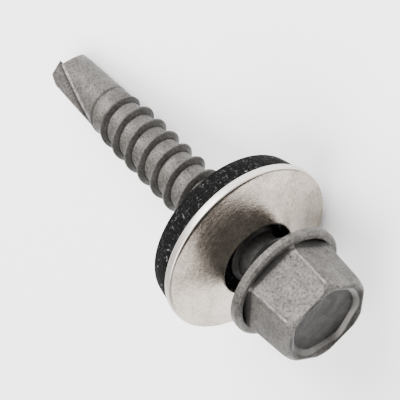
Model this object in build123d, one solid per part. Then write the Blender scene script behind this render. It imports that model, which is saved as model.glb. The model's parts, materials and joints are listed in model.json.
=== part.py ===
from build123d import *
import os
from math import cos, radians, tan

# A self drilling screw with a hexagon head, a flange, and a sealing washer on its shank.
# The washer is a dished metal disc with a rubber seal bonded under it.
# The screw is drawn upright on its own axis. Its height 0 is the flange's underside,
# the head is above it and the drill point below. The whole lies on a floor at the end:
# the head towards +X and raised, the drill point and the seal's rim on the floor.
# Turns about the screw's axis are counted from its -X side as it is drawn.

# Shank and thread
under_head_length = 32.4
thread_diameter = 5.2
thread_pitch = 1.93
thread_depth = 0.56
thread_flank_angle = 30.0
crest_width = 0.16
thread_turn = 19.6
crest_phase_height = -22.78
thread_start_height = -24.9
thread_run_in = 3.5
envelope_turn = 90
thread_end_gap = 0.9
neck_fillet = 0.35

# Drill point
drill_base_diameter = 4.42
drill_end_diameter = 3.96
collar_diameter = 4.76
collar_height = -24.5
collar_length = 0.5
collar_slope_length = 0.5
point_corner_length = 1.45
point_flat_diameter = 2.9
flute_turn = 19.6
web_thickness = 1.4
flute_offset = 0.22
flute_slope = 16.5
flute_fillet = 0.3
relief_angle = 30.0
lip_angle = 18.0

# Flange and head
flange_diameter = 10.6
flange_height = 0.96
flange_edge_round = 0.22
flange_bevel_width = 0.4
flange_bevel_height = 0.24
lip_width = 0.42
groove_depth = 0.42
across_flats = 8.0
head_height = 5.86
head_base_height = 1.42
head_base_flare = 0.36
flat_draft = 2.8
corner_round = 0.35
corner_top_round = 1.0
hex_turn = 49.6
corner_bulge = 0.14
corner_top_diameter = 8.28
crown_diameter = 7.8
crown_height = 0.34
top_edge_round = 0.18
rim_width = 0.24
recess_slope_width = 0.7
recess_depth = 0.62
recess_corner_round = 1.7
recess_floor_round = 2.0

# Washer and seal
washer_diameter = 16.0
washer_thickness = 0.70
washer_hole_diameter = 6.96
dish_height = 1.40
washer_edge_round = 0.12
seal_thickness = 2.27
seal_inset = 0.25
seal_taper = 0.28
seal_bore_clearance = 0.15
washer_distance = 4.59
washer_lean = 3.2
washer_shift = 0.26

# Rest: a flute faces the floor, and its two edges carry the point
rest_turn = -57.2

# Values that follow from the ones above
crest_radius = thread_diameter / 2
root_radius = crest_radius - thread_depth
drill_base_radius = drill_base_diameter / 2
drill_end_radius = drill_end_diameter / 2
flange_radius = flange_diameter / 2
half_web = web_thickness / 2
flat_distance = across_flats / 2
top_flat_distance = flat_distance - (head_height - head_base_height) * tan(radians(flat_draft))
drill_end_height = -under_head_length + point_corner_length
washer_radius = washer_diameter / 2
hole_radius = washer_hole_diameter / 2
seal_top_radius = washer_radius - seal_inset
seal_bottom_radius = seal_top_radius - seal_taper
groove_outer_radius = flange_radius - flange_edge_round - lip_width
groove_floor_height = flange_height - groove_depth
reach = 2 * flange_radius
overlap = 0.05


def turned(angle):
    """The rotation about the axis to a direction counted from -X."""
    return Rot(0, 0, 180 + angle)


def thread_envelope():
    """The space that the thread fills: it grows slowly above the drill point and runs out under the flange."""
    top = -thread_end_gap
    outer = crest_radius + overlap
    with BuildPart() as envelope:
        with BuildSketch(Plane.XZ):
            with BuildLine():
                Polyline(
                    (0, thread_start_height),
                    (drill_base_radius, thread_start_height),
                    (outer, thread_start_height + thread_run_in),
                    (outer, top - thread_pitch / 2),
                    (root_radius, top),
                    (0, top),
                    close=True,
                )
            make_face()
        revolve(axis=Axis.Z)
    return envelope.part


def thread():
    """A right-hand thread, as one tooth section swept along a helix at the root."""
    turns_below = (crest_phase_height - thread_start_height) // thread_pitch + 2
    bottom = crest_phase_height - turns_below * thread_pitch
    length = -bottom - thread_end_gap + thread_pitch
    half_crest = crest_width / 2
    inner = root_radius - overlap
    half_base = half_crest + (crest_radius - inner) * tan(radians(thread_flank_angle))
    helix = Edge.make_helix(thread_pitch, length, root_radius, center=(0, 0, bottom))
    tooth = Wire.make_polygon(
        [
            (inner, 0, bottom - half_base),
            (crest_radius, 0, bottom - half_crest),
            (crest_radius, 0, bottom + half_crest),
            (inner, 0, bottom + half_base),
        ],
        close=True,
    )
    coil = Solid.sweep(tooth, Wire([helix]), is_frenet=True)
    return turned(thread_turn) * coil & Rot(0, 0, envelope_turn) * thread_envelope()


def blank():
    """The round body of the screw: drill blank, collar, threaded shank and neck."""
    collar_top = collar_height + collar_length
    with BuildPart() as body:
        with BuildSketch(Plane.XZ):
            with BuildLine():
                Polyline(
                    (0, -under_head_length),
                    (point_flat_diameter / 2, -under_head_length),
                    (drill_end_radius, drill_end_height),
                    (drill_base_radius, thread_start_height),
                    (collar_diameter / 2, collar_height),
                    (collar_diameter / 2, collar_top),
                    (root_radius, collar_top + collar_slope_length),
                    (root_radius, -neck_fillet),
                    (root_radius + neck_fillet, 0),
                    (root_radius + neck_fillet, overlap),
                    (0, overlap),
                    close=True,
                )
            make_face()
        revolve(axis=Axis.Z)
    return body.part


def flute_cutter():
    """One flute: a flat rake face beside the web, and a floor that slopes out of the shank."""
    side = 2 * drill_base_radius
    length = (side + flute_offset) / tan(radians(flute_slope))
    low = -under_head_length - overlap
    with BuildPart() as cutter:
        with BuildSketch(Plane.YZ.offset(half_web)):
            with BuildLine():
                Polyline(
                    (-flute_offset, low),
                    (side, low),
                    (side, length - under_head_length),
                    (-flute_offset, -under_head_length),
                    close=True,
                )
            make_face()
        extrude(amount=side)
        rake = cutter.faces().sort_by(Axis.X)[0]
        floor_edge = rake.edges().filter_by(lambda edge: abs(edge.tangent_at(0.5).Y) > overlap)
        fillet(floor_edge.sort_by(Axis.Z)[-1], flute_fillet)
    return cutter.part


def point_cutter():
    """What is ground from one half of the end: it falls from the lip to the heel and the corner."""
    size = 4 * drill_base_radius
    half = Pos(0, size / 2, 0) * Box(2 * size, size, 2 * size)
    half += Pos(-half_web - size / 2, 0, 0) * Box(size, 2 * size, 2 * size)
    slope = Rot(lip_angle, relief_angle, 0)
    ground = slope * Pos(0, 0, -size) * Box(4 * size, 4 * size, 2 * size)
    return Pos(0, 0, -under_head_length) * (half & (Pos(half_web, 0, 0) * ground))


def drill_point(body):
    """Two flutes and two relieved lips, half a turn apart."""
    for half_turn in (0, 180):
        place = turned(flute_turn + half_turn)
        body -= place * flute_cutter()
        body -= place * point_cutter()
    return body


def flange():
    """The flange: a round disc with a raised lip and a groove round the foot of the hexagon."""
    with BuildPart() as disc:
        with BuildSketch(Plane.XZ):
            with BuildLine():
                Polyline(
                    (0, 0),
                    (flange_radius - flange_bevel_width, 0),
                    (flange_radius, flange_bevel_height),
                    (flange_radius, flange_height - flange_edge_round),
                    (flange_radius - flange_edge_round, flange_height),
                    (groove_outer_radius, flange_height),
                    (groove_outer_radius - groove_depth / 4, groove_floor_height),
                    (0, groove_floor_height),
                    close=True,
                )
            make_face()
        revolve(axis=Axis.Z)
    return disc.part


def hexagon(inner_radius, height, rounding):
    """A hexagon outline with rounded corners, at a height on the axis."""
    with BuildSketch(Plane.XY.offset(height)) as outline:
        RegularPolygon(inner_radius, 6, major_radius=False)
        fillet(outline.vertices(), rounding)
    return outline.sketch


def head():
    """The hexagon: a flared foot that joins the lip at its corners, drafted flats, a soft rim."""
    foot = loft(
        [
            hexagon(flat_distance + head_base_flare, groove_floor_height - overlap, corner_round),
            hexagon(flat_distance, head_base_height, corner_round),
        ]
    )
    prism = loft(
        [
            hexagon(flat_distance, head_base_height, corner_round),
            hexagon(top_flat_distance, head_height, corner_top_round),
        ]
    )
    prism = fillet(prism.faces().sort_by(Axis.Z)[-1].edges(), top_edge_round)
    return (turned(hex_turn) * (foot + prism)) & corner_envelope()


def corner_envelope():
    """The round form that the hexagon's corners are forged into."""
    corner_radius = flat_distance / cos(radians(30))
    foot_radius = (flat_distance + head_base_flare) / cos(radians(30))
    top_radius = corner_top_diameter / 2
    top_height = head_height - crown_height
    middle_radius = (corner_radius + top_radius) / 2 + corner_bulge
    middle_height = (head_base_height + top_height) / 2
    with BuildPart() as envelope:
        with BuildSketch(Plane.XZ):
            with BuildLine():
                Polyline(
                    (corner_radius, head_base_height),
                    (foot_radius, groove_floor_height),
                    (foot_radius, 0),
                    (0, 0),
                    (0, head_height),
                    (crown_diameter / 2, head_height),
                    (top_radius, top_height),
                )
                ThreePointArc(
                    (top_radius, top_height),
                    (middle_radius, middle_height),
                    (corner_radius, head_base_height),
                )
            make_face()
        revolve(axis=Axis.Z)
    return envelope.part


def recess():
    """The shallow dish in the top of the head: it follows the hexagon with softer corners."""
    edge_distance = top_flat_distance - rim_width
    dish = loft(
        [
            hexagon(edge_distance - recess_slope_width, head_height - recess_depth, recess_floor_round),
            hexagon(edge_distance + overlap, head_height + overlap, recess_corner_round),
        ]
    )
    return turned(hex_turn) * dish


def screw():
    """The screw in one piece, upright on its own axis."""
    shank = drill_point(blank() + thread())
    return shank + flange() + head() - recess()


def washer_place():
    """Where the washer sits: along the shank, leaning a little, and a little off its centre."""
    return Pos(0, -washer_shift, -washer_distance) * Rot(0, -washer_lean, 0)


def washer():
    """The dished metal disc. Its height 0 is the flat underside of its rim."""
    inner_edge = washer_radius - washer_edge_round
    with BuildPart() as disc:
        with BuildSketch(Plane.XZ):
            with BuildLine():
                Polyline(
                    (seal_top_radius, 0),
                    (inner_edge, 0),
                    (washer_radius, washer_edge_round),
                    (washer_radius, washer_thickness - washer_edge_round),
                    (inner_edge, washer_thickness),
                    (seal_top_radius, washer_thickness),
                    (hole_radius, washer_thickness + dish_height),
                    (hole_radius, dish_height),
                    close=True,
                )
            make_face()
        revolve(axis=Axis.Z)
    return washer_place() * disc.part


def seal():
    """The rubber seal: it fills the dish, its bottom is flat, and its bore follows the shank."""
    with BuildPart() as pad:
        with BuildSketch(Plane.XZ):
            with BuildLine():
                Polyline(
                    (0, -seal_thickness),
                    (seal_bottom_radius, -seal_thickness),
                    (seal_top_radius, 0),
                    (hole_radius, dish_height),
                    (0, dish_height),
                    close=True,
                )
            make_face()
        revolve(axis=Axis.Z)
    bore = Cylinder(crest_radius + seal_bore_clearance, 2 * under_head_length)
    return washer_place() * pad.part - bore


def lying(rise):
    """The turn that lays the screw down with its head towards +X, raised by an angle."""
    return Rot(0, 90 - rise, 0) * Rot(0, 0, rest_turn)


def resting_rise(screw_part, seal_part):
    """The angle at which the drill point and the rim of the seal touch the same floor."""
    end_length = 2 * point_corner_length
    point = screw_part & Pos(0, 0, -under_head_length) * Box(reach, reach, 2 * end_length)
    rise = 12.0
    for _ in range(6):
        point_height = (lying(rise) * point).bounding_box().min.Z
        seal_height = (lying(rise) * seal_part).bounding_box().min.Z
        span = (under_head_length - washer_distance) * cos(radians(rise))
        rise += (point_height - seal_height) / radians(span)
    return rise


def main():
    screw_part = screw()
    washer_part = washer()
    seal_part = seal()
    rise = resting_rise(screw_part, seal_part)
    turn = lying(rise)
    box = (turn * Compound([screw_part, washer_part, seal_part])).bounding_box()
    place = Pos(-box.center().X, -box.center().Y, -box.min.Z) * turn
    os.makedirs("parts", exist_ok=True)
    export_step(place * screw_part, "parts/screw.step")
    export_step(place * washer_part, "parts/washer.step")
    export_step(place * seal_part, "parts/seal.step")
    print("head raised by", rise, "degrees; flange underside centre at", place.position)


main()
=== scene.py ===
import bmesh
import bpy
import json
import math
from mathutils import Matrix, Vector


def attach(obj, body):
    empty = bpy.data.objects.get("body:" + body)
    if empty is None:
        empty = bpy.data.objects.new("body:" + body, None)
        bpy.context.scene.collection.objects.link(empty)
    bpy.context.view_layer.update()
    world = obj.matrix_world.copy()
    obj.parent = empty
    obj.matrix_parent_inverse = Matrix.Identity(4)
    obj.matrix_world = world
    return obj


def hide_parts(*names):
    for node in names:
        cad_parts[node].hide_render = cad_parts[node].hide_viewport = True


# A self drilling screw with a flanged hexagon head and a bonded sealing washer.
# Each piece is drawn upright in millimetres and is then laid where its CAD solid lies.
# Height 0 is the flange's underside for the screw's pieces, and the underside of the
# metal disc's rim for the washer and its seal.

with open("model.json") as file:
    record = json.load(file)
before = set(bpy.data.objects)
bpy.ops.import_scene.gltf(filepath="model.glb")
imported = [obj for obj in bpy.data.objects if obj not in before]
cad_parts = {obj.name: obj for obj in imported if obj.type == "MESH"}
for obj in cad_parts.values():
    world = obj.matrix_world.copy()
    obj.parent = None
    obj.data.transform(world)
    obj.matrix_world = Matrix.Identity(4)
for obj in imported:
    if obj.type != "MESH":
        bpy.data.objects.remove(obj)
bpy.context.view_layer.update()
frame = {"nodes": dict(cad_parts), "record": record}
mounts = {mount["name"]: mount for mount in frame["record"]["mounts"]}
print("stage 1: the packed screw, washer and seal are loaded")

# places

metre = 1000  # mm

placeSize = {
    "headHeight": 5.86,      # flange underside to the top of the head, mm
    "restTurn": -57.2,       # degrees the screw is rolled about its axis as it lies
    "washerDistance": 4.59,  # flange underside to the underside of the washer's rim
    "washerLean": 3.2,       # degrees
    "washerShift": 0.26,     # off the axis
}


def axisPlace():
    drive = mounts["hex_drive"]
    axis = Vector(drive["axis"]).normalized()
    start = Vector(drive["pos_m"]) - axis * placeSize["headHeight"] / metre
    side = Vector((axis.z, 0, -axis.x))
    turn = Matrix((side, Vector((0, 1, 0)), axis)).transposed().to_4x4()
    roll = Matrix.Rotation(math.radians(placeSize["restTurn"]), 4, "Z")
    return Matrix.Translation(start) @ turn @ roll @ Matrix.Scale(1 / metre, 4)


screwPlace = axisPlace()
washerPlace = (
    screwPlace
    @ Matrix.Translation((0, -placeSize["washerShift"], -placeSize["washerDistance"]))
    @ Matrix.Rotation(math.radians(-placeSize["washerLean"]), 4, "Y")
)

# node helpers

nodeGrid = {"wide": 260, "tall": 220, "rows": 4}


class NodeTree:
    # nodes added one after another, each with its inputs set or wired
    def __init__(self, tree):
        self.tree = tree
        self.count = 0

    def add(self, kind, inputs=None, **settings):
        node = self.tree.nodes.new(kind)
        self.count += 1
        column, row = divmod(self.count, nodeGrid["rows"])
        node.location = (-nodeGrid["wide"] * (1 + column), -nodeGrid["tall"] * row)
        for name, value in settings.items():
            setattr(node, name, value)
        for name, value in (inputs or {}).items():
            self.feed(node.inputs[name], value)
        return node

    def feed(self, socket, value):
        if isinstance(value, bpy.types.NodeSocket):
            self.tree.links.new(value, socket)
        else:
            socket.default_value = value

    def maths(self, operation, first, second=0.0):
        node = self.add("ShaderNodeMath", {0: first, 1: second}, operation=operation)
        return node.outputs[0]

    def product(self, value, *factors):
        for factor in factors:
            value = self.maths("MULTIPLY", value, factor)
        return value


class FinishTree(NodeTree):
    # the nodes of one material
    def __init__(self, name):
        self.material = bpy.data.materials.new(name)
        self.material.use_nodes = True
        super().__init__(self.material.node_tree)
        self.shader = self.tree.nodes["Principled BSDF"]

    def local(self, place):
        # object coordinates turned into millimetres in a piece's own upright frame
        coordinates = self.add("ShaderNodeTexCoord")
        return self.add(
            "ShaderNodeMapping",
            {
                "Vector": coordinates.outputs["Object"],
                "Location": place.to_translation(),
                "Rotation": place.to_euler(),
                "Scale": place.to_scale(),
            },
            vector_type="TEXTURE",
        ).outputs["Vector"]

    def noise(self, vector, scale, detail, roughness=0.55, distortion=0.0):
        return self.add(
            "ShaderNodeTexNoise",
            {
                "Vector": vector,
                "Scale": scale,
                "Detail": detail,
                "Roughness": roughness,
                "Distortion": distortion,
            },
        ).outputs["Fac"]

    def between(self, value, low, high, toLow=0.0, toHigh=1.0):
        return self.add(
            "ShaderNodeMapRange",
            {
                "Value": value,
                "From Min": low,
                "From Max": high,
                "To Min": toLow,
                "To Max": toHigh,
            },
            interpolation_type="SMOOTHSTEP",
        ).outputs["Result"]

    def mix(self, amount, first, second):
        return self.add(
            "ShaderNodeMix",
            {"Factor": amount, "A": first, "B": second},
            data_type="RGBA",
        ).outputs["Result"]

    def bump(self, height, strength, distance, normal=None):
        node = self.add(
            "ShaderNodeBump",
            {"Height": height, "Strength": strength, "Distance": distance},
        )
        if normal is not None:
            self.feed(node.inputs["Normal"], normal)
        return node.outputs["Normal"]

    def axisParts(self, place):
        # distance from the piece's axis, height on it, and the two sideways parts
        parts = self.add("ShaderNodeSeparateXYZ", {"Vector": place}).outputs
        squares = self.maths(
            "ADD",
            self.product(parts["X"], parts["X"]),
            self.product(parts["Y"], parts["Y"]),
        )
        return self.maths("SQRT", squares), parts["Z"], parts["X"], parts["Y"]

    def finish(self, **inputs):
        labels = {"baseColor": "Base Color", "specular": "Specular IOR Level"}
        for name, value in inputs.items():
            label = labels.get(name, name.capitalize())
            self.feed(self.shader.inputs[label], value)
        return self.material


def grey(level, warmth=0.0):
    # a linear grey, a little red for a positive warmth
    return (level * (1 + warmth), level, level * (1 - warmth), 1.0)


# In the finishes a noise is its scale per mm, detail, roughness and distortion. A bump
# is its strength and its depth in metres. An edge is where a change starts and ends.

# zinc plating, shared by the screw's pieces, with the greys for its pits, painted shade
# and painted highlights

zincFinish = {
    "dark": grey(0.026, 0.09),
    "light": grey(0.108, 0.08),
    # darkest greys: pits, and painted shade; bright grey: worn edges, and painted
    # highlights
    "pitsAndShade": grey(0.006, 0.08),
    "paintedDark": grey(0.003, 0.25),
    "wearAndHighlight": grey(0.40, 0.05),
    "patchNoise": (0.7, 6.0, 0.62, 0.6),
    "patchShare": 0.5,
    "grainNoise": (4.6, 5.0, 0.72),
    "grainShare": 1.8,
    "toneEdge": (0.72, 1.52),
    "pitScale": 1.7,
    "pitNoise": (2.3, 2.0),
    "pitSize": 0.17,
    "pitEdge": (-0.02, 0.03),
    "creviceDistance": 0.0006,
    "creviceSamples": 6,
    "creviceEdge": (0.30, 0.85),
    "creviceStrength": 0.75,
    "dentNoise": (2.0, 4.0, 0.6),
    "dentBump": (0.45, 0.00009),
    "grainBump": (0.80, 0.00006),
    "pitBump": (0.5, -0.00004),
    "metallic": 0.6,
    "specular": 0.25,
    "roughEdge": (0.3, 0.7),
    "roughness": (0.56, 0.40),
}


def screwTexture(nodes):
    # blotched plating with fine grain and pits, and painted shade in the crevices
    zinc = zincFinish
    place = nodes.local(screwPlace)
    patches = nodes.noise(place, *zinc["patchNoise"])
    grain = nodes.noise(place, *zinc["grainNoise"])
    tone = nodes.maths(
        "ADD",
        nodes.product(patches, zinc["patchShare"]),
        nodes.product(grain, zinc["grainShare"]),
    )
    tone = nodes.between(tone, *zinc["toneEdge"])
    colour = nodes.mix(tone, zinc["dark"], zinc["light"])
    pits = nodes.add(
        "ShaderNodeTexVoronoi", {"Vector": place, "Scale": zinc["pitScale"]}
    )
    pitSize = nodes.product(nodes.noise(place, *zinc["pitNoise"]), zinc["pitSize"])
    fromPit = nodes.maths("SUBTRACT", pits.outputs["Distance"], pitSize)
    pitMask = nodes.between(fromPit, *zinc["pitEdge"], 1.0, 0.0)
    colour = nodes.mix(pitMask, colour, zinc["pitsAndShade"])
    # painted shade: darker wherever ambient occlusion finds a crevice
    crevice = nodes.add(
        "ShaderNodeAmbientOcclusion",
        {"Distance": zinc["creviceDistance"]},
        samples=zinc["creviceSamples"],
    )
    creviceShade = nodes.between(
        crevice.outputs["AO"], *zinc["creviceEdge"], zinc["creviceStrength"], 0.0
    )
    colour = nodes.mix(creviceShade, colour, zinc["pitsAndShade"])
    normal = nodes.bump(nodes.noise(place, *zinc["dentNoise"]), *zinc["dentBump"])
    normal = nodes.bump(grain, *zinc["grainBump"], normal)
    normal = nodes.bump(pitMask, *zinc["pitBump"], normal)
    return place, colour, normal, patches


def screwFinish(nodes, colour, normal, patches):
    zinc = zincFinish
    return nodes.finish(
        baseColor=colour,
        metallic=zinc["metallic"],
        roughness=nodes.between(patches, *zinc["roughEdge"], *zinc["roughness"]),
        normal=normal,
        specular=zinc["specular"],
    )


# painted shade near the head, where the washer and the flange keep the light off
neckShadeSize = {"edge": (-6.0, -4.0), "strength": 0.72}


def neckShade(nodes, height, colour):
    # painted shade: the shank's top end, under the washer and the flange, is darkened
    paintedDark = nodes.between(height, *neckShadeSize["edge"], 0.0, neckShadeSize["strength"])
    return nodes.mix(paintedDark, colour, zincFinish["pitsAndShade"])


def bodyMaterial():
    nodes = FinishTree("mottledZinc")
    place, colour, normal, patches = screwTexture(nodes)
    height = nodes.axisParts(place)[1]
    return screwFinish(nodes, neckShade(nodes, height, colour), normal, patches)


# painted shade on the thread's flanks
flankShadeSize = {
    "rootEdge": (2.03, 2.10),    # radius
    "crestEdge": (2.50, 2.57),
    "crestShare": 0.25,
    "strength": 0.66,
}


def threadMaterial():
    # painted shade on the thread's flanks, less at the rolled crest and none at the
    # root
    nodes = FinishTree("threadZinc")
    place, colour, normal, patches = screwTexture(nodes)
    radius, height = nodes.axisParts(place)[:2]
    size = flankShadeSize
    flankShade = nodes.product(
        nodes.between(radius, *size["rootEdge"]),
        nodes.between(radius, *size["crestEdge"], 1.0, size["crestShare"]),
        size["strength"],
    )
    colour = nodes.mix(flankShade, colour, zincFinish["pitsAndShade"])
    return screwFinish(nodes, neckShade(nodes, height, colour), normal, patches)


# painted shade in the flutes, and a painted highlight on each flute's burr
fluteShadeAndHighlight = {
    "turn": 19.6,        # degrees from the +X side as the screw is drawn
    "slope": 16.5,       # degrees between a flute's floor and the axis
    "offset": 0.22,
    "end": -32.4,        # height of the drill point's end
    "shadeStart": (-0.06, 0.0),      # distance past a flute's edge, as in the next three
    "shadeFade": (0.18, 0.75),
    "burrStart": (-0.32, -0.22),
    "burrEnd": (-0.08, -0.02),
    "paintedDark": (0.82, 0.30),          # painted shade beside the edge, and elsewhere in a flute
    "burrRadius": (1.9, 2.0),
    "wearAndHighlightNoise": (1.8, 4.0, 0.7),
    "wearAndHighlightEdge": (0.38, 0.66),
    "highlightStrength": (0.12, 0.62),
    "burrBump": (0.6, 0.00006),
}


def pointMaterial():
    # a painted highlight on a slightly raised burr follows each flute's edge, and
    # painted shade lies below it
    nodes = FinishTree("pointZinc")
    place, colour, normal, patches = screwTexture(nodes)
    radius, height = nodes.axisParts(place)[:2]
    size = fluteShadeAndHighlight
    turned = nodes.add(
        "ShaderNodeVectorRotate",
        {"Vector": place, "Angle": -math.radians(size["turn"])},
        rotation_type="Z_AXIS",
    )
    parts = nodes.add("ShaderNodeSeparateXYZ", {"Vector": turned.outputs["Vector"]})
    across = nodes.product(parts.outputs["Y"], nodes.maths("SIGN", parts.outputs["X"]))
    rise = nodes.product(
        nodes.maths("SUBTRACT", height, size["end"]),
        math.tan(math.radians(size["slope"])),
    )
    past = nodes.maths("ADD", nodes.maths("SUBTRACT", across, rise), size["offset"])
    paintedDark = nodes.product(
        nodes.between(past, *size["shadeStart"]),
        nodes.between(past, *size["shadeFade"], *size["paintedDark"]),
    )
    colour = nodes.mix(paintedDark, colour, zincFinish["pitsAndShade"])
    burrAndHighlight = nodes.product(
        nodes.between(past, *size["burrStart"]),
        nodes.between(past, *size["burrEnd"], 1.0, 0.0),
        nodes.between(radius, *size["burrRadius"]),
    )
    wearAndHighlightPatches = nodes.between(
        nodes.noise(place, *size["wearAndHighlightNoise"]), *size["wearAndHighlightEdge"], *size["highlightStrength"]
    )
    colour = nodes.mix(nodes.product(burrAndHighlight, wearAndHighlightPatches), colour, zincFinish["wearAndHighlight"])
    normal = nodes.bump(burrAndHighlight, *size["burrBump"], normal)
    return screwFinish(nodes, colour, normal, patches)


# painted shade in the head's recess, and a painted sheen on its wall
recessShadeAndSheen = {
    "fade": (3.01, 3.66),          # radius, from the floor to the rim
    "rimShare": 0.62,
    "lowest": (4.9, 4.95),
    "outermost": (3.72, 3.80),
    "shadeNoise": (1.1, 3.0),
    "shadeNoiseEdge": (0.35, 0.65),
    "shadeNoiseShare": (0.9, 1.0),
    "strength": 0.97,
    "wallStart": (2.99, 3.11),     # radius
    "wallEnd": (3.34, 3.48),
    "sheenNoise": (0.32, 1.0, 0.4),
    "sheenEdge": (0.36, 0.62),
    "sheenStrength": (0.10, 0.50),
}
# painted highlight along the hexagon's corners
cornerHighlightSize = {
    "flatTurn": 19.6,              # degrees from the +X side to one flat's middle
    "halfFlat": 30,                # degrees from a flat's middle to a corner
    "lineEdge": (0.0525, 0.15),    # distance from a corner
    "innermost": (4.15, 4.25),
    "lowest": (1.3, 1.5),
    "highest": (5.05, 5.25),
    "topShare": 0.3,
    "wearAndHighlightNoise": (1.6, 4.0, 0.7),
    "wearAndHighlightEdge": (0.36, 0.62),
    "highlightStrength": (0.10, 0.42),
}
# painted shade in the groove behind the flange's lip
grooveShadeSize = {
    "floor": (0.4, 0.45),
    "top": (1.15, 1.40),
    "outer": (4.62, 4.72),
    "strength": 0.85,
}
# painted shade under the flange
undersideShadeSize = {"edge": (0.12, 0.22), "strength": 0.93}


def recessShade(nodes, place, radius, inRecess):
    # painted shade in the stamped recess, a little lighter up its wall
    size = recessShadeAndSheen
    lighterUpWall = nodes.between(radius, *size["fade"], 1.0, size["rimShare"])
    unevenShade = nodes.between(
        nodes.noise(place, *size["shadeNoise"]), *size["shadeNoiseEdge"], *size["shadeNoiseShare"]
    )
    return nodes.product(lighterUpWall, inRecess, unevenShade, size["strength"])


def recessPaintedSheen(nodes, place, radius, inRecess):
    # painted sheen on the recess's wall, in broad stretches
    size = recessShadeAndSheen
    wall = nodes.product(
        nodes.between(radius, *size["wallStart"]),
        nodes.between(radius, *size["wallEnd"], 1.0, 0.0),
        inRecess,
    )
    sheen = nodes.between(
        nodes.noise(place, *size["sheenNoise"]),
        *size["sheenEdge"],
        *size["sheenStrength"],
    )
    return nodes.product(wall, sheen)


def cornerHighlight(nodes, place, radius, height, sideX, sideY):
    # painted highlight along the hexagon's six corners, in patches
    size = cornerHighlightSize
    halfFlat = math.radians(size["halfFlat"])
    angle = nodes.maths("ARCTAN2", sideY, sideX)
    angle = nodes.maths("SUBTRACT", angle, math.radians(size["flatTurn"]))
    fromMiddle = nodes.maths("PINGPONG", angle, halfFlat)
    away = nodes.product(nodes.maths("SUBTRACT", halfFlat, fromMiddle), radius)
    line = nodes.product(
        nodes.between(away, *size["lineEdge"], 1.0, 0.0),
        nodes.between(radius, *size["innermost"]),
    )
    stretch = nodes.product(
        nodes.between(height, *size["lowest"]),
        nodes.between(height, *size["highest"], 1.0, size["topShare"]),
    )
    wearAndHighlightPatches = nodes.between(
        nodes.noise(place, *size["wearAndHighlightNoise"]), *size["wearAndHighlightEdge"], *size["highlightStrength"]
    )
    return nodes.product(line, stretch, wearAndHighlightPatches)


def grooveShade(nodes, radius, height):
    # painted shade in the groove behind the flange's lip
    size = grooveShadeSize
    return nodes.product(
        nodes.between(height, *size["floor"]),
        nodes.between(height, *size["top"], 1.0, 0.0),
        nodes.between(radius, *size["outer"], 1.0, 0.0),
        size["strength"],
    )


def headMaterial():
    nodes = FinishTree("headZinc")
    place, colour, normal, patches = screwTexture(nodes)
    radius, height, sideX, sideY = nodes.axisParts(place)
    inRecess = nodes.product(
        nodes.between(height, *recessShadeAndSheen["lowest"]),
        nodes.between(radius, *recessShadeAndSheen["outermost"], 1.0, 0.0),
    )
    under = undersideShadeSize
    # painted shade in the recess, the groove and under the flange, and painted
    # highlights on the corners and the recess's wall
    for amount, shade in (
        (recessShade(nodes, place, radius, inRecess), "paintedDark"),
        (cornerHighlight(nodes, place, radius, height, sideX, sideY), "wearAndHighlight"),
        (recessPaintedSheen(nodes, place, radius, inRecess), "wearAndHighlight"),
        (grooveShade(nodes, radius, height), "pitsAndShade"),
        (nodes.between(height, *under["edge"], under["strength"], 0.0), "pitsAndShade"),
    ):
        colour = nodes.mix(amount, colour, zincFinish[shade])
    return screwFinish(nodes, colour, normal, patches)


wornFinish = {
    "wearAndHighlightNoise": (3.0, 4.0, 0.65),
    "wearAndHighlightEdge": (0.40, 0.62),
    "grainNoise": (4.6, 3.0),
    "grainBump": (0.35, 0.00002),
    "roughness": 0.38,
}


def wornMaterial():
    # where an edge is rubbed the plating is thin and bright
    nodes = FinishTree("wornZinc")
    size, zinc = wornFinish, zincFinish
    place = nodes.local(screwPlace)
    wearAndHighlightPatches = nodes.between(nodes.noise(place, *size["wearAndHighlightNoise"]), *size["wearAndHighlightEdge"])
    grain = nodes.noise(place, *size["grainNoise"])
    return nodes.finish(
        baseColor=nodes.mix(wearAndHighlightPatches, zinc["light"], zinc["wearAndHighlight"]),
        metallic=zinc["metallic"],
        roughness=size["roughness"],
        normal=nodes.bump(grain, *size["grainBump"]),
        specular=zinc["specular"],
    )


# the washer's metal and its rubber

washerFinish = {
    "dark": grey(0.22, 0.17),
    "light": grey(0.44, 0.15),
    "speckLineAndReflection": grey(0.04, 0.12),
    "side": grey(0.50, 0.08),
    "cloudNoise": (0.35, 5.0, 0.55),
    "grainNoise": (3.8, 4.0, 0.75),
    "grainShare": 1.2,
    "toneEdge": (0.80, 1.35),
    "speckNoise": (4.2, 4.0, 0.8),
    "speckEdge": (0.55, 0.72),
    "speckStrength": 0.6,
    # the painted reflection of the flange: its centre, waver, growth, end and strength
    "reflectionCentre": (-2.95, -0.35, 1.2),
    "reflectionWaver": 0.8,
    "reflectionGrowth": (1.6, 4.5),      # distance from the painted reflection's centre
    "reflectionEnd": (4.5, 5.2),
    "paintedDark": 0.30,
    "lineStart": (7.73, 7.81),     # radius
    "lineEnd": (7.89, 7.93),
    "lineSide": (-0.943, -0.333, 0.0),
    "lineReach": (1.0, 4.5),       # how far towards that side
    "lineStrength": 0.75,
    "sideEdge": (7.93, 7.97),
    "sideRoughness": 0.3,          # added there
    "dentNoise": (0.9, 2.0),
    "dentBump": (0.10, 0.00006),
    "grainBump": (0.50, 0.00003),
    "metallic": 0.92,
    "roughEdge": (0.3, 0.7),
    "roughness": (0.08, 0.13),
}


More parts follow.
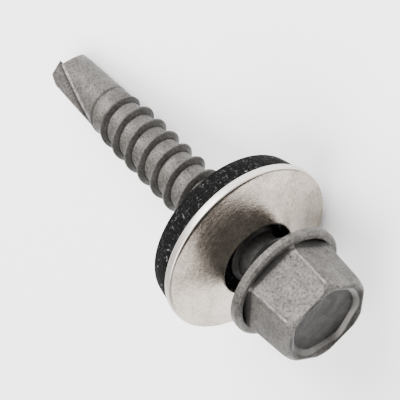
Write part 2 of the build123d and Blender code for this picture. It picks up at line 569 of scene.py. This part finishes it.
def washerReflection(nodes, place, clouds):
    # a painted reflection beside the hole: a faint dark patch where the flange's own
    # reflection lies
    size = washerFinish
    away = nodes.add(
        "ShaderNodeVectorMath", {0: place, 1: size["reflectionCentre"]}, operation="DISTANCE"
    ).outputs["Value"]
    away = nodes.maths("ADD", away, nodes.product(clouds, size["reflectionWaver"]))
    return nodes.product(
        nodes.between(away, *size["reflectionGrowth"], 0.0, size["paintedDark"]),
        nodes.between(away, *size["reflectionEnd"], 1.0, 0.0),
    )


def washerLine(nodes, place, radius):
    # a dark line follows part of the upper edge
    size = washerFinish
    reach = nodes.add(
        "ShaderNodeVectorMath", {0: place, 1: size["lineSide"]}, operation="DOT_PRODUCT"
    ).outputs["Value"]
    return nodes.product(
        nodes.between(radius, *size["lineStart"]),
        nodes.between(radius, *size["lineEnd"], 1.0, 0.0),
        nodes.between(reach, *size["lineReach"], 0.0, size["lineStrength"]),
    )


def washerMaterial():
    nodes = FinishTree("satinWasher")
    size = washerFinish
    place = nodes.local(washerPlace)
    radius = nodes.axisParts(place)[0]
    clouds = nodes.noise(place, *size["cloudNoise"])
    grain = nodes.noise(place, *size["grainNoise"])
    tone = nodes.maths("ADD", clouds, nodes.product(grain, size["grainShare"]))
    tone = nodes.between(tone, *size["toneEdge"])
    sheared = nodes.between(radius, *size["sideEdge"])
    specks = nodes.noise(place, *size["speckNoise"])
    specks = nodes.between(specks, *size["speckEdge"], 0.0, size["speckStrength"])
    colour = nodes.mix(tone, size["dark"], size["light"])
    # specks, a painted reflection beside the hole, a dark line along part of the upper
    # edge, and the lighter sheared side
    for amount, shade in (
        (specks, "speckLineAndReflection"),
        (washerReflection(nodes, place, clouds), "speckLineAndReflection"),
        (washerLine(nodes, place, radius), "speckLineAndReflection"),
        (sheared, "side"),
    ):
        colour = nodes.mix(amount, colour, size[shade])
    normal = nodes.bump(nodes.noise(place, *size["dentNoise"]), *size["dentBump"])
    normal = nodes.bump(grain, *size["grainBump"], normal)
    roughness = nodes.maths(
        "ADD",
        nodes.between(clouds, *size["roughEdge"], *size["roughness"]),
        nodes.product(sheared, size["sideRoughness"]),
    )
    return nodes.finish(
        baseColor=colour,
        metallic=size["metallic"],
        roughness=roughness,
        normal=normal,
    )


rubberFinish = {
    "dark": grey(0.0015),
    "light": grey(0.006),
    "dust": grey(0.18),
    "grainNoise": (5.0, 6.0, 0.7),
    "grainEdge": (0.35, 0.7),
    "grainBump": (0.7, 0.00009),
    "dustNoise": (2.8, 8.0, 0.8, 0.9),
    "dustEdge": (0.555, 0.68),
    "dustStrength": 0.8,
    "specular": 0.03,
    "roughness": 0.8,
}


def rubberMaterial():
    nodes = FinishTree("blackRubber")
    size = rubberFinish
    place = nodes.local(washerPlace)
    grain = nodes.noise(place, *size["grainNoise"])
    tone = nodes.between(grain, *size["grainEdge"])
    colour = nodes.mix(tone, size["dark"], size["light"])
    dust = nodes.noise(place, *size["dustNoise"])
    dust = nodes.between(dust, *size["dustEdge"], 0.0, size["dustStrength"])
    return nodes.finish(
        baseColor=nodes.mix(dust, colour, size["dust"]),
        roughness=size["roughness"],
        normal=nodes.bump(grain, *size["grainBump"]),
        specular=size["specular"],
    )


materials = {
    "body": bodyMaterial(),
    "thread": threadMaterial(),
    "point": pointMaterial(),
    "head": headMaterial(),
    "worn": wornMaterial(),
    "washer": washerMaterial(),
    "rubber": rubberMaterial(),
}
print("stage 2: the zinc, satin and rubber finishes are made")

# mesh helpers

smoothAngle = 40     # degrees, for the thread and the turned pieces
cornerSteps = 5
cornerShare = 0.45   # the most that a rounded corner takes of a side


def newPiece(name, mesh, material):
    piece = bpy.data.objects.new(name, mesh)
    bpy.context.scene.collection.objects.link(piece)
    if material is not None:
        mesh.materials.clear()
        mesh.materials.append(material)
    return piece


def softEdges(mesh, angle):
    mesh.shade_smooth()
    mesh.set_sharp_from_angle(angle=math.radians(angle))


def turnedMesh(name, profile, sides):
    # rings of one radius and height each, with an optional shift of the ring's centre
    mesh = bpy.data.meshes.new(name)
    work = bmesh.new()
    rings = []
    for radius, height, *shift in profile:
        centreX, centreY = shift if shift else (0.0, 0.0)
        rings.append([
            work.verts.new((
                centreX + radius * math.cos(2 * math.pi * k / sides),
                centreY + radius * math.sin(2 * math.pi * k / sides),
                height,
            ))
            for k in range(sides)
        ])
    for lower, upper in zip(rings, rings[1:]):
        for k in range(sides):
            after = (k + 1) % sides
            work.faces.new((lower[k], lower[after], upper[after], upper[k]))
    work.to_mesh(mesh)
    work.free()
    return mesh


def rounded(corners, radius):
    # a profile whose inner corners are rounded
    points = [corners[0]]
    for before, corner, after in zip(corners, corners[1:], corners[2:]):
        corner = Vector(corner)
        toBefore = Vector(before) - corner
        toAfter = Vector(after) - corner
        cut = min(radius, toBefore.length * cornerShare, toAfter.length * cornerShare)
        first = corner + toBefore.normalized() * cut
        last = corner + toAfter.normalized() * cut
        for step in range(cornerSteps + 1):
            share = step / cornerSteps
            bend = (
                first * (1 - share) ** 2
                + corner * 2 * share * (1 - share)
                + last * share ** 2
            )
            points.append(tuple(bend))
    points.append(corners[-1])
    return points


def evaluated(piece):
    # the mesh with its modifiers applied, and the modifiers gone
    graph = bpy.context.evaluated_depsgraph_get()
    mesh = bpy.data.meshes.new_from_object(piece.evaluated_get(graph))
    piece.modifiers.clear()
    piece.data = mesh
    return mesh


# screw head and drill point

stretchSize = {
    "mergeDistance": 0.002,
    "flatAngle": 0.6,      # degrees, facets that differ by less are joined
    "wearSteps": 3,
    "smoothMargin": 8,     # degrees more than the angle of a worn edge
}
headSize = {
    "lowest": -0.6,
    "highest": None,
    "wearWidth": 0.07,
    "wearAngle": 22,
    "collarRadius": None,
}
pointSize = {
    "lowest": None,
    "highest": -24.0,
    "wearWidth": 0.10,
    "wearAngle": 16,
    "collarRadius": 2.23,   # slimmer than the solid's
}


def slimCollar(work, collarRadius):
    for vert in work.verts:
        radius = math.hypot(vert.co.x, vert.co.y)
        if radius > collarRadius:
            vert.co.x *= collarRadius / radius
            vert.co.y *= collarRadius / radius


def screwStretch(name, size, material):
    # a stretch of the CAD screw, merged, with its sharp edges worn round
    mesh = frame["nodes"]["screw"].data.copy()
    mesh.transform(screwPlace.inverted())
    work = bmesh.new()
    work.from_mesh(mesh)
    bmesh.ops.remove_doubles(
        work, verts=work.verts, dist=stretchSize["mergeDistance"]
    )
    for height, above in ((size["lowest"], False), (size["highest"], True)):
        if height is None:
            continue
        bmesh.ops.bisect_plane(
            work,
            geom=work.verts[:] + work.edges[:] + work.faces[:],
            plane_co=(0, 0, height),
            plane_no=(0, 0, 1),
            clear_outer=above,
            clear_inner=not above,
        )
    bmesh.ops.dissolve_limit(
        work,
        angle_limit=math.radians(stretchSize["flatAngle"]),
        verts=work.verts,
        edges=work.edges,
    )
    if size["collarRadius"] is not None:
        slimCollar(work, size["collarRadius"])
    work.to_mesh(mesh)
    work.free()
    piece = newPiece(name, mesh, material)
    mesh.materials.append(materials["worn"])
    bevel = piece.modifiers.new("wornEdges", "BEVEL")
    bevel.width = size["wearWidth"]
    bevel.segments = stretchSize["wearSteps"]
    bevel.material = len(mesh.materials) - 1
    bevel.limit_method = "ANGLE"
    bevel.angle_limit = math.radians(size["wearAngle"])
    softEdges(evaluated(piece), size["wearAngle"] + stretchSize["smoothMargin"])
    return piece


head = screwStretch("flangedHead", headSize, materials["head"])
drillPoint = screwStretch("drillPoint", pointSize, materials["point"])
print("stage 3: the flanged head and the drill point are cut from the screw and worn")

# shank

shankSize = {
    "rootRadius": 2.04,
    "collarRadius": 2.23,
    "collarTop": -24.0,     # where the drill point's own stretch ends
    "collarStep": 0.001,
    "collarSlope": 0.5,
    "top": -0.58,
    "seam": 0.02,           # how far the shank's ends lie inside the pieces beside it
    "lowerOverlap": 0.3,
    "upperOverlap": 0.4,
    "rounding": 0.12,
    "sides": 160,
}


def shankMesh():
    size = shankSize
    root, collar, seam = size["rootRadius"], size["collarRadius"], size["seam"]
    corners = [
        (collar - seam, size["collarTop"] - size["lowerOverlap"]),
        (collar - seam, size["collarTop"]),
        (collar, size["collarTop"] + size["collarStep"]),
        (root, size["collarTop"] + size["collarSlope"]),
        (root, size["top"]),
        (root - seam, size["top"] + size["upperOverlap"]),
    ]
    profile = rounded(corners, size["rounding"])
    return turnedMesh("threadedShank", profile, size["sides"])


shank = newPiece("shankCore", shankMesh(), materials["body"])
softEdges(shank.data, smoothAngle)

# thread

threadSize = {
    "pitch": 1.93,
    "rootRadius": 2.0,        # the ridge starts a little inside the shank
    "crestRadius": 2.6,
    "crestWidth": 0.16,
    "baseWidth": 0.86,
    "crestRounding": 0.07,
    "crestHeight": -22.78,    # one crest's height at the thread's turn
    "turnAngle": 199.6,       # degrees from the +X side as the screw is drawn
    "turnsBelow": 1.25,
    "turns": 12.65,
    "runInStart": -25.2,      # the ridge grows from here
    "runInRadius": 2.22,
    "runInLength": 3.8,
    "runOutTop": -0.9,        # the ridge is gone here
    "runOutLength": 0.965,
    "wobble": 0.02,
    "wobbleScale": 0.7,
    "wobbleDetail": 2.0,
    "wobbleMiddle": 0.62,     # the noise's value where a crest stays as drawn
    "stepsPerTurn": 90,
}


def threadValues():
    size = threadSize
    return {
        "Turns": size["turns"],
        "Pitch": size["pitch"],
        "Root Radius": size["rootRadius"],
        "Crest Radius": size["crestRadius"],
        "Crest Width": size["crestWidth"],
        "Base Width": size["baseWidth"],
        "Crest Rounding": size["crestRounding"],
        "Start Height": size["crestHeight"] - size["turnsBelow"] * size["pitch"],
        "Run In Start": size["runInStart"],
        "Run In Radius": size["runInRadius"],
        "Run In Length": size["runInLength"],
        "Run Out Top": size["runOutTop"],
        "Run Out Length": size["runOutLength"],
        "Wobble": size["wobble"],
        "Steps Per Turn": size["stepsPerTurn"],
        "Finish": materials["thread"],
    }


def threadTree(values):
    tree = bpy.data.node_groups.new("rolledThread", "GeometryNodeTree")
    tree.is_modifier = True
    kinds = {float: "NodeSocketFloat", int: "NodeSocketInt"}
    inputs = {}
    for name, value in values.items():
        kind = kinds.get(type(value), "NodeSocketMaterial")
        inputs[name] = tree.interface.new_socket(name, in_out="INPUT", socket_type=kind)
    tree.interface.new_socket(
        "Geometry", in_out="OUTPUT", socket_type="NodeSocketGeometry"
    )
    nodes = NodeTree(tree)
    add, maths = nodes.add, nodes.maths
    source = add("NodeGroupInput").outputs
    # the line the ridge follows
    spiral = add("GeometryNodeCurveSpiral", {
        "Resolution": source["Steps Per Turn"],
        "Rotations": source["Turns"],
        "Start Radius": source["Root Radius"],
        "End Radius": source["Root Radius"],
        "Height": nodes.product(source["Turns"], source["Pitch"]),
        "Reverse": True,
    })
    upright = add(
        "GeometryNodeSetCurveNormal", {"Curve": spiral.outputs[0]}, mode="Z_UP"
    )
    # the ridge's own section, a trapezoid with a rounded crest
    depth = maths("SUBTRACT", source["Crest Radius"], source["Root Radius"])
    section = add("GeometryNodeCurvePrimitiveQuadrilateral", {
        "Height": depth,
        "Bottom Width": source["Base Width"],
        "Top Width": source["Crest Width"],
        "Offset": 0.0,
    }, mode="TRAPEZOID")
    soft = add("GeometryNodeFilletCurve", {
        "Curve": section.outputs[0],
        "Radius": source["Crest Rounding"],
    })
    outward = add("ShaderNodeCombineXYZ", {"X": maths("MULTIPLY", depth, 0.5)})
    placed = add("GeometryNodeTransform", {
        "Geometry": soft.outputs[0],
        "Translation": outward.outputs[0],
        "Rotation": (0, 0, -math.pi / 2),
    })
    ridge = add("GeometryNodeCurveToMesh", {
        "Curve": upright.outputs[0],
        "Profile Curve": placed.outputs[0],
        "Fill Caps": True,
    })
    lift = add("ShaderNodeCombineXYZ", {"Z": source["Start Height"]})
    raised = add("GeometryNodeTransform", {
        "Geometry": ridge.outputs[0],
        "Translation": lift.outputs[0],
    })
    # the ridge grows at one end, runs out at the other, and is never quite even
    position = add("GeometryNodeInputPosition").outputs[0]
    parts = add("ShaderNodeSeparateXYZ", {"Vector": position}).outputs
    flat = add("ShaderNodeCombineXYZ", {"X": parts["X"], "Y": parts["Y"]})
    reach = add(
        "ShaderNodeVectorMath", {0: flat.outputs[0]}, operation="LENGTH"
    ).outputs["Value"]
    runIn = add("ShaderNodeMapRange", {
        "Value": maths("SUBTRACT", parts["Z"], source["Run In Start"]),
        "From Max": source["Run In Length"],
        "To Min": source["Run In Radius"],
        "To Max": source["Crest Radius"],
    })
    runOut = add("ShaderNodeMapRange", {
        "Value": maths("SUBTRACT", source["Run Out Top"], parts["Z"]),
        "From Max": source["Run Out Length"],
        "To Min": source["Root Radius"],
        "To Max": source["Crest Radius"],
    })
    limit = maths("MINIMUM", runIn.outputs[0], runOut.outputs[0])
    noise = add("ShaderNodeTexNoise", {
        "Vector": position,
        "Scale": threadSize["wobbleScale"],
        "Detail": threadSize["wobbleDetail"],
    })
    uneven = nodes.product(
        maths("SUBTRACT", noise.outputs["Fac"], threadSize["wobbleMiddle"]),
        source["Wobble"],
    )
    nearer = maths("MINIMUM", maths("DIVIDE", limit, reach), 1.0)
    nearer = maths("ADD", nearer, uneven)
    shrink = add("ShaderNodeCombineXYZ", {"X": nearer, "Y": nearer, "Z": 1.0})
    shrink = shrink.outputs[0]
    moved = add(
        "ShaderNodeVectorMath", {0: position, 1: shrink}, operation="MULTIPLY"
    )
    shaped = add("GeometryNodeSetPosition", {
        "Geometry": raised.outputs[0],
        "Position": moved.outputs[0],
    })
    real = add("GeometryNodeRealizeInstances", {"Geometry": shaped.outputs[0]})
    finished = add("GeometryNodeSetMaterial", {
        "Geometry": real.outputs[0],
        "Material": source["Finish"],
    })
    add("NodeGroupOutput", {0: finished.outputs[0]})
    return tree, inputs


def threadRidge():
    size = threadSize
    piece = newPiece("threadRidge", bpy.data.meshes.new("threadRidge"), None)
    values = threadValues()
    tree, inputs = threadTree(values)
    modifier = piece.modifiers.new("rolledThread", "NODES")
    modifier.node_group = tree
    for name, value in values.items():
        modifier[inputs[name].identifier] = value
    mesh = evaluated(piece)
    start = size["turnAngle"] - 360 * size["turnsBelow"]
    mesh.transform(Matrix.Rotation(math.radians(start), 4, "Z"))
    softEdges(mesh, smoothAngle)
    return piece


thread = threadRidge()
print("stage 4: the thread is rolled on the shank,", len(thread.data.polygons), "faces")

# washer

washerSize = {
    "radius": 7.994,
    "thickness": 0.7,
    "rimFlat": 0.25,        # width of the flat ring under the rim
    "dishStart": 7.7,       # the face begins to rise inside this radius
    "rimSlope": 0.62,       # the rise at the rim, as a share of the mean rise
    "faceSteps": 8,
    "holeRadius": 3.48,
    "holeFlat": 0.1,        # width of the flat ring round the hole
    "faceRise": 1.34,
    "underRise": 1.42,
    "edgeRounding": 0.13,
    "sides": 256,
}


def washerMesh():
    size = washerSize
    rim, top, hole = size["dishStart"], size["thickness"], size["holeRadius"]
    inner = hole + size["holeFlat"]
    face = []
    for step in range(size["faceSteps"] + 1):
        share = step / size["faceSteps"]
        lift = size["rimSlope"] * share + (1 - size["rimSlope"]) * share ** 2
        face.append((rim - share * (rim - inner), top + size["faceRise"] * lift))
    profile = [
        (hole, size["underRise"]),
        (size["radius"] - size["rimFlat"], 0.0),
        (size["radius"], 0.0),
        (size["radius"], top),
        *face,
        (hole, top + size["faceRise"]),
        (hole, size["underRise"]),
    ]
    profile = rounded(profile, size["edgeRounding"])
    return turnedMesh("dishedWasher", profile, size["sides"])


# seal

sealSize = {
    "topRadius": 7.75,
    "bottomRadius": 7.47,
    "thickness": 2.27,
    "bulge": 0.07,
    "neckRadius": 3.46,     # just inside the metal's hole
    "neckHeight": 1.4,
    "boreRadius": 2.75,
    "boreTop": 1.3,
    "edgeRounding": 0.25,
    "sides": 192,
}


def sealMesh():
    size = sealSize
    bore, bottom = size["boreRadius"], -size["thickness"]
    lean = math.tan(math.radians(placeSize["washerLean"]))
    middle = (size["topRadius"] + size["bottomRadius"]) / 2 + size["bulge"]
    profile = rounded([
        (bore, bottom),
        (size["bottomRadius"], bottom),
        (middle, bottom / 2),
        (size["topRadius"], 0.0),
        (size["neckRadius"], size["neckHeight"]),
        (bore, size["boreTop"]),
    ], size["edgeRounding"])
    profile += [(bore, 0.0), (bore, bottom)]
    rings = []
    for radius, height in profile:
        # the bore follows the screw's own axis, on which the washer leans
        share = 1.0 if radius <= bore else 0.0
        shift = (share * height * lean, share * placeSize["washerShift"])
        rings.append((radius, height, *shift))
    return turnedMesh("rubberSeal", rings, size["sides"])


washer = newPiece("dishedWasher", washerMesh(), materials["washer"])
seal = newPiece("rubberSeal", sealMesh(), materials["rubber"])
for piece in (washer, seal):
    softEdges(piece.data, smoothAngle)
print("stage 5: the washer and its seal are turned")

# every piece goes where the CAD screw and washer lie

for piece in (head, drillPoint, shank, thread):
    piece.data.transform(screwPlace)
    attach(piece, "screw")
    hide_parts("screw")
for piece, node, slot in ((washer, "washer", "washer_metal"), (seal, "seal", "rubber")):
    piece.data.transform(washerPlace)
    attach(piece, "washer_group")
    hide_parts(node)

# floor, light and camera

studio = {
    "floorSize": 3.0,
    "floorTone": grey(0.92),
    "floorRoughness": 0.9,
    "worldTone": grey(1.0),
    "worldStrength": 0.95,
}

# direction and distance in metres from the screw, then size and watts
lights = {
    "keyLight": {
        "direction": (-0.45, 0.60, 0.66), "distance": 0.40, "size": 0.30, "watts": 5.2
    },
    "sideLight": {
        "direction": (0.10, -0.30, 0.95), "distance": 0.45, "size": 0.40, "watts": 4.6
    },
}

cameraSize = {
    "place": (47.7237, 60.9595, 97.7672),    # mm
    "right": (0.74684, 0.31716, -0.58450),
    "up": (-0.54285, 0.79845, -0.26037),
    "lens": 125.7,
    "nearest": 0.01,                         # metres
}


def makeFloor():
    half = studio["floorSize"] / 2
    mesh = bpy.data.meshes.new("paleFloor")
    corners = [(-half, -half, 0), (half, -half, 0), (half, half, 0), (-half, half, 0)]
    mesh.from_pydata(corners, [], [(0, 1, 2, 3)])
    paper = FinishTree("palePaper").finish(
        baseColor=studio["floorTone"], roughness=studio["floorRoughness"]
    )
    floor = newPiece("paleFloor", mesh, paper)


def makeLights():
    world = bpy.data.worlds.new("studioAir")
    world.use_nodes = True
    air = world.node_tree.nodes["Background"]
    air.inputs["Color"].default_value = studio["worldTone"]
    air.inputs["Strength"].default_value = studio["worldStrength"]
    bpy.context.scene.world = world
    for name, settings in lights.items():
        place = Vector(settings["direction"]).normalized() * settings["distance"]
        data = bpy.data.lights.new(name, "AREA")
        data.size = settings["size"]
        data.energy = settings["watts"]
        light = bpy.data.objects.new(name, data)
        light.location = place
        light.rotation_euler = (-place).to_track_quat("-Z", "Y").to_euler()
        bpy.context.scene.collection.objects.link(light)


def makeCamera():
    right = Vector(cameraSize["right"]).normalized()
    up = Vector(cameraSize["up"])
    back = right.cross(up).normalized()
    up = back.cross(right)
    data = bpy.data.cameras.new("photoCamera")
    data.lens = cameraSize["lens"]
    data.clip_start = cameraSize["nearest"]
    camera = bpy.data.objects.new("photoCamera", data)
    turn = Matrix((right, up, back)).transposed().to_4x4()
    place = Vector(cameraSize["place"]) / metre
    camera.matrix_world = Matrix.Translation(place) @ turn
    bpy.context.scene.collection.objects.link(camera)
    bpy.context.scene.camera = camera


makeFloor()
makeLights()
makeCamera()
print("stage 6: the floor, the lights and the camera are set")
